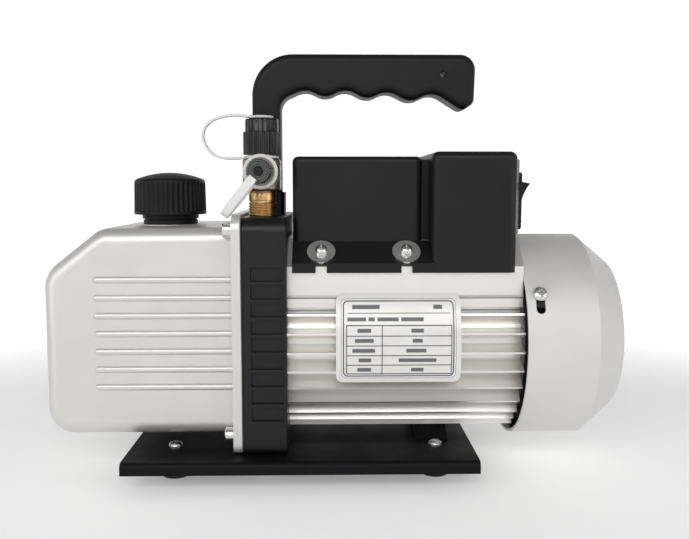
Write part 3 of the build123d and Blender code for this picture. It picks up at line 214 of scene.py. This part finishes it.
def surface(
    name,
    colour,
    metal=0.0,
    rough=0.5,
    mottle=0.06,
    mottle_scale=45.0,
    grain=0.15,
    grain_scale=1400.0,
    stretch=(1, 1, 1),
    rough_spread=0.06,
    gloss_level=0.5,
    bump_depth=0.00012,
):
    """A finish with slow colour variation, fine grain relief and uneven gloss."""
    mat, tree, shader, where = shader_base(name)
    slow = noise_at(tree, where, mottle_scale, 3.0, stretch)
    fine = noise_at(tree, where, grain_scale, 2.0, stretch)
    tint = mix_colours(
        tree,
        spread_to(tree, slow, 0.0, 1.0),
        shade(colour, -mottle),
        shade(colour, mottle),
    )
    tint = mix_colours(tree, spread_to(tree, fine, 0.0, 0.35), tint, shade(colour, -2 * mottle))
    tree.links.new(tint, shader.inputs["Base Color"])
    gloss = spread_to(tree, slow, rough - rough_spread, rough + rough_spread)
    tree.links.new(gloss, shader.inputs["Roughness"])
    shader.inputs["Metallic"].default_value = metal
    shader.inputs["Specular IOR Level"].default_value = gloss_level
    if grain:
        bump = tree.nodes.new("ShaderNodeBump")
        bump.inputs["Strength"].default_value = grain
        bump.inputs["Distance"].default_value = bump_depth
        tree.links.new(fine, bump.inputs["Height"])
        tree.links.new(bump.outputs["Normal"], shader.inputs["Normal"])
    return mat


def striped(name, colour, dark, axis, pitch, metal, rough, depth=0.00015):
    """Stacked sheets or close turns of wire: fine lines square to an axis."""
    mat, tree, shader, where = shader_base(name)
    wave = tree.nodes.new("ShaderNodeTexWave")
    wave.wave_type = "BANDS"
    wave.bands_direction = axis
    wave.inputs["Scale"].default_value = 1.0 / (pitch * 20.0) * math.pi * 2
    wave.inputs["Distortion"].default_value = 0.4
    tree.links.new(where, wave.inputs["Vector"])
    slow = noise_at(tree, where, 60.0, 3.0)
    tint = mix_colours(tree, wave.outputs["Fac"], dark, colour)
    tint = mix_colours(tree, spread_to(tree, slow, 0.0, 0.3), tint, shade(colour, -0.3))
    tree.links.new(tint, shader.inputs["Base Color"])
    tree.links.new(
        spread_to(tree, slow, rough - 0.08, rough + 0.08), shader.inputs["Roughness"]
    )
    shader.inputs["Metallic"].default_value = metal
    bump = tree.nodes.new("ShaderNodeBump")
    bump.inputs["Strength"].default_value = 0.6
    bump.inputs["Distance"].default_value = depth
    tree.links.new(wave.outputs["Fac"], bump.inputs["Height"])
    tree.links.new(bump.outputs["Normal"], shader.inputs["Normal"])
    return mat


def clear_glass():
    """The sight glass: clear with a warm tinge from the oil behind it."""
    mat = surface(
        "oil_glass", (0.85, 0.80, 0.62), rough=0.08, mottle=0.04, grain=0.0,
        rough_spread=0.03,
    )
    mat.node_tree.nodes["Principled BSDF"].inputs["Transmission Weight"].default_value = 0.6
    return mat


def make_materials():
    """Every finish, by the record's slot name."""
    along = (0.03, 1, 1)
    return {
        "tank_silver": surface(
            "cast_silver", (0.685, 0.675, 0.655), 0.62, 0.40, mottle=0.02,
            grain=0.16, grain_scale=1700, rough_spread=0.04,
        ),
        "cast_black": surface(
            "black_casting", (0.007, 0.007, 0.0075), 0.0, 0.38, mottle=0.15,
            grain=0.22, grain_scale=1500, gloss_level=0.32,
        ),
        "motor_aluminium": surface(
            "extruded_aluminium", (0.845, 0.83, 0.80), 0.86, 0.34, mottle=0.015,
            mottle_scale=300, grain=0.10, grain_scale=2600, stretch=along, rough_spread=0.03,
        ),
        "cover_silver": surface(
            "silver_paint", (0.665, 0.655, 0.64), 0.30, 0.50, mottle=0.02,
            grain=0.12, grain_scale=2200,
        ),
        "box_black": surface(
            "satin_black_box", (0.0070, 0.0064, 0.0064), 0.0, 0.42, mottle=0.10,
            grain=0.10, grain_scale=1300, gloss_level=0.27,
        ),
        "base_black": surface(
            "satin_black_sheet", (0.0035, 0.0035, 0.0045), 0.0, 0.50, mottle=0.12,
            grain=0.18, grain_scale=1100, gloss_level=0.14,
        ),
        "plastic_black": surface(
            "moulded_black", (0.005, 0.005, 0.0058), 0.0, 0.50, mottle=0.12,
            grain=0.22, grain_scale=2400, gloss_level=0.25,
        ),
        "port_cap_black": surface(
            "glossy_moulded_black", (0.005, 0.005, 0.0056), 0.0, 0.24, mottle=0.10,
            grain=0.06, grain_scale=2400, gloss_level=0.42,
        ),
        "strap_eye": surface(
            "milky_plastic_over_black", (0.075, 0.080, 0.076), 0.0, 0.30, mottle=0.08,
            mottle_scale=500, grain=0.10, gloss_level=0.5,
        ),
        "fan_black": surface(
            "fan_plastic", (0.010, 0.010, 0.010), 0.0, 0.55, mottle=0.12, grain=0.2
        ),
        "rubber_black": surface(
            "black_rubber", (0.022, 0.022, 0.022), 0.0, 0.72, mottle=0.18,
            grain=0.4, grain_scale=1600,
        ),
        "gasket_dark": surface(
            "gasket_sheet", (0.07, 0.065, 0.06), 0.0, 0.75, mottle=0.2, grain=0.4
        ),
        "brass": surface(
            "turned_brass", (0.66, 0.42, 0.20), 1.0, 0.34, mottle=0.03,
            mottle_scale=90, grain=0.0, grain_scale=900, stretch=(0.2, 0.2, 1),
            rough_spread=0.03,
        ),
        "nickel": surface(
            "nickel_plate", (0.42, 0.36, 0.325), 0.95, 0.24, mottle=0.08,
            mottle_scale=150, grain=0.12,
        ),
        "strap_white": surface(
            "milky_plastic", (0.70, 0.70, 0.695), rough=0.50, mottle=0.015,
            mottle_scale=120.0, grain=0.0,
        ),
        "zinc": surface(
            "zinc_plate", (0.74, 0.74, 0.73), 1.0, 0.27, mottle=0.07,
            mottle_scale=260, grain=0.15, grain_scale=2600,
        ),
        "steel": surface(
            "ground_steel", (0.58, 0.58, 0.59), 1.0, 0.30, mottle=0.06,
            mottle_scale=160, grain=0.2, grain_scale=2400,
        ),
        "cast_iron": surface(
            "machined_iron", (0.30, 0.30, 0.31), 0.9, 0.42, mottle=0.10,
            grain=0.3, grain_scale=1500,
        ),
        "laminations": striped(
            "core_sheets", (0.34, 0.34, 0.36), (0.12, 0.12, 0.13), "X", 0.0006, 0.8, 0.42
        ),
        "copper": striped(
            "winding_wire", (0.72, 0.34, 0.15), (0.32, 0.13, 0.05), "DIAGONAL",
            0.0009, 0.8, 0.34, 0.0003,
        ),
        "rotor_aluminium": surface(
            "rotor_casting", (0.62, 0.62, 0.63), 0.9, 0.38, mottle=0.06, grain=0.25
        ),
        "vane_composite": surface(
            "vane_resin", (0.12, 0.075, 0.05), 0.0, 0.45, mottle=0.2,
            mottle_scale=300, grain=0.3, stretch=(0.2, 1, 1),
        ),
        "lens_glass": clear_glass(),
        "label_white": surface(
            "label_film", (0.74, 0.73, 0.715), 0.15, 0.35, mottle=0.012, grain=0.03
        ),
        "capacitor_white": surface(
            "capacitor_shell", (0.72, 0.72, 0.70), 0.0, 0.42, mottle=0.03, grain=0.1
        ),
    }


def paint_frame(finishes):
    """Gives every CAD node the finish of its slot in the record."""
    for part in frame["record"]["subparts"]:
        node = NODES[part["node"]]
        node.data.materials.clear()
        node.data.materials.append(finishes[part["material_slot"]])


# ---------------------------------------------------------------- mesh helpers
def new_piece(name, bm, finish, body, stands_for=None, crease=35.0):
    """Turns a bmesh into a smooth-shaded piece that rides on a body."""
    bmesh.ops.recalc_face_normals(bm, faces=bm.faces)
    mesh = bpy.data.meshes.new(name)
    bm.to_mesh(mesh)
    bm.free()
    mesh.shade_smooth()
    mesh.set_sharp_from_angle(angle=math.radians(crease))
    piece = bpy.data.objects.new(name, mesh)
    bpy.context.scene.collection.objects.link(piece)
    mesh.materials.append(finish)
    if body:
        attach(piece, body)
    if stands_for:
        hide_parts(stands_for)
    return piece


def add_rings(bm, rings):
    """A closed skin through rings of points, the first and last closed by flat ends."""
    loops = [[bm.verts.new(p) for p in ring] for ring in rings]
    count = len(loops[0])
    for low, high in zip(loops, loops[1:]):
        for i in range(count):
            j = (i + 1) % count
            bm.faces.new((low[i], low[j], high[j], high[i]))
    bm.faces.new(loops[0])
    bm.faces.new(loops[-1])


def groove(turn, flutes):
    """How deep a flute is at an angle: 0 on a crest, 1 in a groove."""
    return (0.5 - 0.5 * math.cos(flutes * turn)) ** 1.4


def turned_rings(rows, steps, place, flutes=0):
    """Rings of a turned shape; each row is (radius, height, flute depth), in millimetres."""
    rings = []
    for radius, height, depth in rows:
        ring = []
        for i in range(steps):
            turn = 2 * math.pi * i / steps
            r = radius - (depth * groove(turn, flutes) if flutes else 0)
            ring.append(place @ Vector((r * math.cos(turn), r * math.sin(turn), height)))
        rings.append([p * MM for p in ring])
    return rings


def smooth_path(points, steps):
    """A Catmull-Rom line through points."""
    line = []
    padded = [points[0] * 2 - points[1], *points, points[-1] * 2 - points[-2]]
    for p0, p1, p2, p3 in zip(padded, padded[1:], padded[2:], padded[3:]):
        for i in range(steps):
            t = i / steps
            line.append(
                0.5
                * (
                    2 * p1
                    + (p2 - p0) * t
                    + (2 * p0 - 5 * p1 + 4 * p2 - p3) * t * t
                    + (3 * p1 - 3 * p2 + p3 - p0) * t * t * t
                )
            )
    line.append(points[-1])
    return line


def band_rings(line, across, wide, thick, waist=1.0):
    """Sections of a flat strap along a line, with rounded edges and a slimmer middle."""
    rings = []
    for i, point in enumerate(line):
        width = wide * (1 - (1 - waist) * math.sin(math.pi * i / (len(line) - 1)) ** 0.5)
        ahead = line[min(i + 1, len(line) - 1)] - line[max(i - 1, 0)]
        out = across.cross(ahead.normalized())
        ring = []
        for side, lift in (
            (-1, -0.35), (-0.95, -0.75), (-0.8, -1), (0.8, -1), (0.95, -0.75), (1, -0.35),
            (1, 0.35), (0.95, 0.75), (0.8, 1), (-0.8, 1), (-0.95, 0.75), (-1, 0.35),
        ):
            ring.append((point + across * side * width / 2 + out * lift * thick / 2) * MM)
        rings.append(ring)
    return rings


# ---------------------------------------------------------------- detailed pieces
def middle(node):
    """The centre of a node's box, and its lowest and highest corners, in millimetres."""
    low, high = (Vector(c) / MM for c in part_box(node))
    return (low + high) / 2, low, high


def make_filler_cap(finish):
    """The oil cap: 42 flutes between a plain rim and a low dome."""
    centre, low, _ = middle("filler_cap")
    place = Matrix.Translation((centre.x, centre.y, low.z))
    rows = [
        (0.4, 13.0, 0), (13.08, 13.0, 0), (13.08, 1.6, 0), (17.2, 1.6, 0), (17.4, 1.3, 0),
        (17.4, 0.2, 0), (17.6, 0.0, 0), (21.0, 0.0, 0), (21.3, 0.12, 0), (21.4, 0.4, 0),
        (21.4, 1.4, 0), (21.37, 1.7, 0), (21.35, 1.95, 0.35), (21.34, 2.3, 0.70),
        (21.33, 3.0, 0.85), (21.2, 9.0, 0.85), (21.05, 16.8, 0.85), (21.03, 17.8, 0.70),
        (21.0, 18.5, 0.35), (20.97, 19.1, 0.08), (20.85, 19.7, 0), (20.55, 20.3, 0),
        (20.0, 20.85, 0), (19.2, 21.2, 0), (17.5, 21.85, 0), (15.0, 22.65, 0),
        (12.0, 23.45, 0), (9.0, 24.05, 0), (6.0, 24.5, 0), (3.0, 24.74, 0), (0.4, 24.79, 0),
    ]
    bm = bmesh.new()
    add_rings(bm, turned_rings(rows, 42 * 10, place, 42))
    new_piece("oil_filler_cap", bm, finish, "oil_cap", "filler_cap")


def make_top_cap(finish):
    """The upper port's cap: a fluted skirt, a narrower fluted crown and a nub."""
    centre, low, _ = middle("top_cap")
    place = Matrix.Translation((centre.x, centre.y, low.z))
    rows = [
        (0.4, 12.0, 0), (7.55, 12.0, 0), (7.55, 0.25, 0), (7.8, 0.0, 0), (10.4, 0.0, 0.5),
        (10.7, 0.15, 0.8), (10.8, 0.5, 0.9), (10.8, 12.4, 0.9), (10.7, 12.8, 0.8),
        (10.4, 13.0, 0.7), (9.75, 13.05, 0.3), (9.62, 13.3, 0.3), (9.6, 19.2, 0.3),
        (9.45, 19.9, 0.25), (9.0, 20.35, 0.12), (8.3, 20.4, 0), (3.15, 20.4, 0),
        (3.0, 20.6, 0), (3.0, 22.6, 0), (2.7, 22.95, 0), (2.2, 23.0, 0), (0.4, 23.0, 0),
    ]
    bm = bmesh.new()
    add_rings(bm, turned_rings(rows, 16 * 14, place, 16))
    new_piece("upper_port_cap", bm, finish, "port_cap_top", "top_cap")


def make_front_cap(finish):
    """The front port's knurled cap, with a nub for its strap."""
    centre, _, high = middle("front_cap")
    place = Matrix.Translation((centre.x, high.y, centre.z)) @ Matrix.Rotation(
        math.pi / 2, 4, "X"
    )
    rows = [
        (0.4, 7.5, 0), (5.45, 7.5, 0), (5.45, 0.2, 0), (5.6, 0.0, 0), (6.7, 0.0, 0.3),
        (6.95, 0.2, 0.5), (7.0, 0.5, 0.6), (7.0, 9.8, 0.6), (6.9, 10.4, 0.5),
        (6.6, 11.3, 0.4), (6.3, 11.85, 0.3), (5.9, 12.0, 0.1), (2.5, 12.0, 0),
        (2.4, 12.2, 0), (2.4, 13.8, 0), (2.1, 14.15, 0), (1.6, 14.2, 0), (0.4, 14.2, 0),
    ]
    bm = bmesh.new()
    add_rings(bm, turned_rings(rows, 24 * 10, place, 24))
    new_piece("front_port_cap", bm, finish, "port_cap_front", "front_cap")


def make_stem(finish):
    """The brass stem: a cut thread low down and a plain collar above it."""
    centre, _, _ = middle("inlet_stem")
    thread_from, thread_to, pitch, steps, rise = 148.6, 156.3, 1.55, 96, 0.18
    bm = bmesh.new()
    rings = turned_rings([(0.5, 138.2, 0), (6.0, 138.2, 0), (6.0, 148.2, 0), (7.6, 148.6, 0)],
                         steps, Matrix.Translation((centre.x, centre.y, 0)))
    for row in range(int((thread_to - thread_from) / rise) + 1):
        height = thread_from + 0.1 + row * rise
        ring = []
        for i in range(steps):
            turn = 2 * math.pi * i / steps
            wave = abs(((height / pitch + i / steps) % 1.0) * 2 - 1)
            r = 7.5 + 0.68 * min(1.0, 1.35 * wave)
            ring.append(Vector((
                centre.x + r * math.cos(turn), centre.y + r * math.sin(turn), height)) * MM)
        rings.append(ring)
    rings += turned_rings(
        [(7.5, 156.6, 0), (7.5, 157.3, 0), (7.9, 157.6, 0), (7.9, 162.7, 0), (7.7, 163.0, 0),
         (0.5, 163.0, 0)], steps, Matrix.Translation((centre.x, centre.y, 0)))
    add_rings(bm, rings)
    new_piece("brass_stem", bm, finish, "pump", "inlet_stem", crease=50)


def ring_solid(bm, place, inner, outer, thick):
    """A flat moulded ring with softened rims, added to a bmesh as its own closed skin."""
    half, soft, steps = thick / 2, thick * 0.3, 64
    rows = [
        (inner, -half + soft, 0), (inner + soft, -half, 0), (outer - soft, -half, 0),
        (outer, -half + soft, 0), (outer, half - soft, 0), (outer - soft, half, 0),
        (inner + soft, half, 0), (inner, half - soft, 0),
    ]
    loops = [[bm.verts.new(p) for p in ring] for ring in turned_rings(rows, steps, place)]
    for k in range(len(loops)):
        low, high = loops[k], loops[(k + 1) % len(loops)]
        for i in range(steps):
            j = (i + 1) % steps
            bm.faces.new((low[i], low[j], high[j], high[i]))


def make_straps(finish, eye_finish):
    """The two moulded straps that hold the port caps."""
    centre, _, _ = middle("top_cap")
    x0, y0 = centre.x, centre.y
    outline = (
        (-8.4, 182.0), (-15.0, 181.3), (-22.5, 181.6), (-28.3, 184.0), (-32.2, 188.8),
        (-33.6, 194.4), (-31.6, 199.7), (-27.0, 203.3), (-20.0, 205.3), (-13.0, 205.6),
        (-7.5, 205.0), (-4.0, 204.6),
    )
    line = smooth_path([Vector((x0 + x, y0, z)) for x, z in outline], 6)
    bm = bmesh.new()
    add_rings(bm, band_rings(line, Vector((0, 1, 0)), 4.6, 1.4))
    ring_solid(bm, Matrix.Translation((x0, y0, 182.0)), 7.6, 9.7, 1.5)
    ring_solid(bm, Matrix.Translation((x0, y0, 204.6)), 3.05, 6.6, 1.4)
    strap = new_piece("upper_strap", bm, finish, None, "top_tether")
    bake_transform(strap)

    centre, _, high = middle("front_cap")
    z0, port_y = centre.z, high.y + 4.4
    droop = math.radians(231)
    heading = Vector((math.cos(droop), 0, math.sin(droop)))
    across = Vector((math.sin(droop), 0, -math.cos(droop)))
    outline = (
        (8.4, 3.2), (15.0, 2.9), (22.0, 3.0), (27.3, 4.6), (30.4, 8.0), (30.6, 12.2),
        (27.6, 15.6), (22.0, 17.5), (14.0, 17.9), (7.5, 17.6), (4.4, 17.4),
    )
    origin = Vector((centre.x, port_y, z0))
    line = smooth_path([origin + heading * u - Vector((0, v, 0)) for u, v in outline], 6)
    bm = bmesh.new()
    add_rings(bm, band_rings(line, across, 5.5, 1.3, 0.86))
    upright = Matrix.Rotation(math.pi / 2, 4, "X")
    ring_solid(bm, Matrix.Translation((centre.x, port_y - 3.2, z0)) @ upright, 7.7, 9.8, 1.5)
    eye = Matrix.Translation((centre.x, port_y - 17.4, z0)) @ upright
    already = len(bm.faces)
    for inner, outer, thick in ((2.45, 3.6, 1.4), (3.55, 5.1, 1.1), (5.05, 6.2, 1.4)):
        ring_solid(bm, eye, inner, outer, thick)
    bm.faces.ensure_lookup_table()
    for face in bm.faces[already:]:
        face.material_index = 1
    strap = new_piece("front_strap", bm, finish, None, "front_tether")
    strap.data.materials.append(eye_finish)
    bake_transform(strap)


def make_print(dark, grey):
    """Blank table rules and plain bars printed on the nameplate, with no lettering."""
    _, low, high = middle("nameplate")
    wide, tall = high.x - low.x, high.z - low.z
    axis_height, skin = 75.7, -low.y
    # (left, right, top, bottom) as shares of the plate
    edge, fine = 0.0085, 0.0025
    rules = [
        (0.094, 0.915, 0.205, 0.213), (0.080, 0.926, 0.338, 0.349), (0.080, 0.926, 0.890, 0.901),
        (0.080, 0.087, 0.338, 0.900), (0.919, 0.926, 0.338, 0.900), (0.364, 0.371, 0.338, 0.900),
    ]
    rules += [(0.080, 0.926, y, y + 0.010) for y in (0.454, 0.564, 0.676, 0.786)]
    for inset, line in ((0.040, fine), (0.056, edge)):
        rules += [
            (inset + 0.04, 1 - inset - 0.04, inset * 1.3, inset * 1.3 + line * 1.4),
            (inset + 0.04, 1 - inset - 0.04, 1 - inset * 1.3 - line * 1.4, 1 - inset * 1.3),
            (inset, inset + line, inset * 1.3 + 0.055, 1 - inset * 1.3 - 0.055),
            (1 - inset - line, 1 - inset, inset * 1.3 + 0.055, 1 - inset * 1.3 - 0.055),
        ]
    bars = [
        (0.13, 0.35, 0.120, 0.165), (0.78, 0.85, 0.120, 0.165),
        (0.09, 0.24, 0.255, 0.297), (0.26, 0.31, 0.255, 0.297), (0.33, 0.50, 0.255, 0.297),
        (0.52, 0.70, 0.255, 0.297),
    ]
    rows = ((0.17, 0.28, 0.60, 0.70), (0.15, 0.30, 0.61, 0.69), (0.13, 0.31, 0.56, 0.72),
            (0.18, 0.28, 0.50, 0.80), (0.17, 0.28, 0.60, 0.70))
    for top, (a, b, c, d) in zip((0.378, 0.490, 0.602, 0.712, 0.824), rows):
        bars += [(a, b, top, top + 0.044), (c, d, top, top + 0.044)]

    def add_bar(bm, left, right, top, bottom):
        """One printed bar bent round the motor, sunk in the plate and a little proud."""
        x_from, x_to = low.x + left * wide, low.x + right * wide
        z_to, z_from = high.z - top * tall, high.z - bottom * tall
        steps = max(1, int((z_to - z_from) / 1.5) + 1)
        rings = []
        for k in range(steps + 1):
            z = z_from + (z_to - z_from) * k / steps
            turn = math.asin((z - axis_height) / skin)
            ring = []
            for x, r in ((x_from, skin - 0.2), (x_to, skin - 0.2),
                         (x_to, skin + proud), (x_from, skin + proud)):
                ring.append(Vector((x, -r * math.cos(turn), axis_height + r * math.sin(turn))) * MM)
            rings.append(ring)
        add_rings(bm, rings)

    proud = 0.03
    for name, cells, ink in (("plate_rules", rules, dark), ("plate_bars", bars, grey)):
        bm = bmesh.new()
        for cell in cells:
            add_bar(bm, *cell)
        corner_at = ((0.040, fine), (0.056, edge)) if name == "plate_rules" else ()
        for inset, line in corner_at:
            for left, upper in ((True, True), (True, False), (False, True), (False, False)):
                add_corner(bm, low, high, inset, line, left, upper, skin, axis_height, proud)
        new_piece(name, bm, ink, "pump", crease=20)


def add_corner(bm, low, high, inset, line, left, upper, skin, axis_height, proud):
    """A quarter turn of the printed border."""
    wide, tall = high.x - low.x, high.z - low.z
    reach_x, reach_z = 0.04 * wide, 0.055 * tall
    cx = low.x + (inset + 0.04) * wide if left else high.x - (inset + 0.04) * wide
    cz = high.z - (inset * 1.3 + 0.055) * tall if upper else low.z + (inset * 1.3 + 0.055) * tall
    rings = []
    for k in range(9):
        turn = math.pi / 2 * k / 8
        ring = []
        for shrink, r in ((0, skin - 0.2), (line * wide, skin - 0.2),
                          (line * wide, skin + proud), (0, skin + proud)):
            x = cx + (-1 if left else 1) * (reach_x - shrink) * math.cos(turn)
            z = cz + (1 if upper else -1) * (reach_z - shrink) * math.sin(turn)
            bend = math.asin((z - axis_height) / skin)
            ring.append(Vector((x, -r * math.cos(bend), axis_height + r * math.sin(bend))) * MM)
        rings.append(ring)
    add_rings(bm, rings)


bpy.context.scene.view_settings.view_transform = "Standard"
make_camera()
make_world()
make_floor()
make_light("key_softbox", (-0.2, -1.4, 0.92), (0, 0, 0.10), 1.7, 11.0, 0.6)
make_light("left_softbox", (-1.1, -0.75, 0.35), (0, 0, 0.09), 0.6, 2.2, 0.8)
make_light("right_softbox", (1.15, -0.75, 0.40), (0.05, 0, 0.09), 0.6, 2.6, 0.8)
finishes = make_materials()
paint_frame(finishes)
make_filler_cap(finishes["plastic_black"])
make_top_cap(finishes["port_cap_black"])
make_front_cap(finishes["port_cap_black"])
make_stem(finishes["brass"])
make_straps(finishes["strap_white"], finishes["strap_eye"])
make_print(
    surface("rule_ink", (0.030, 0.030, 0.034), rough=0.45, mottle=0.1, grain=0.0),
    surface("bar_ink", (0.13, 0.13, 0.14), rough=0.45, mottle=0.1, grain=0.0),
)
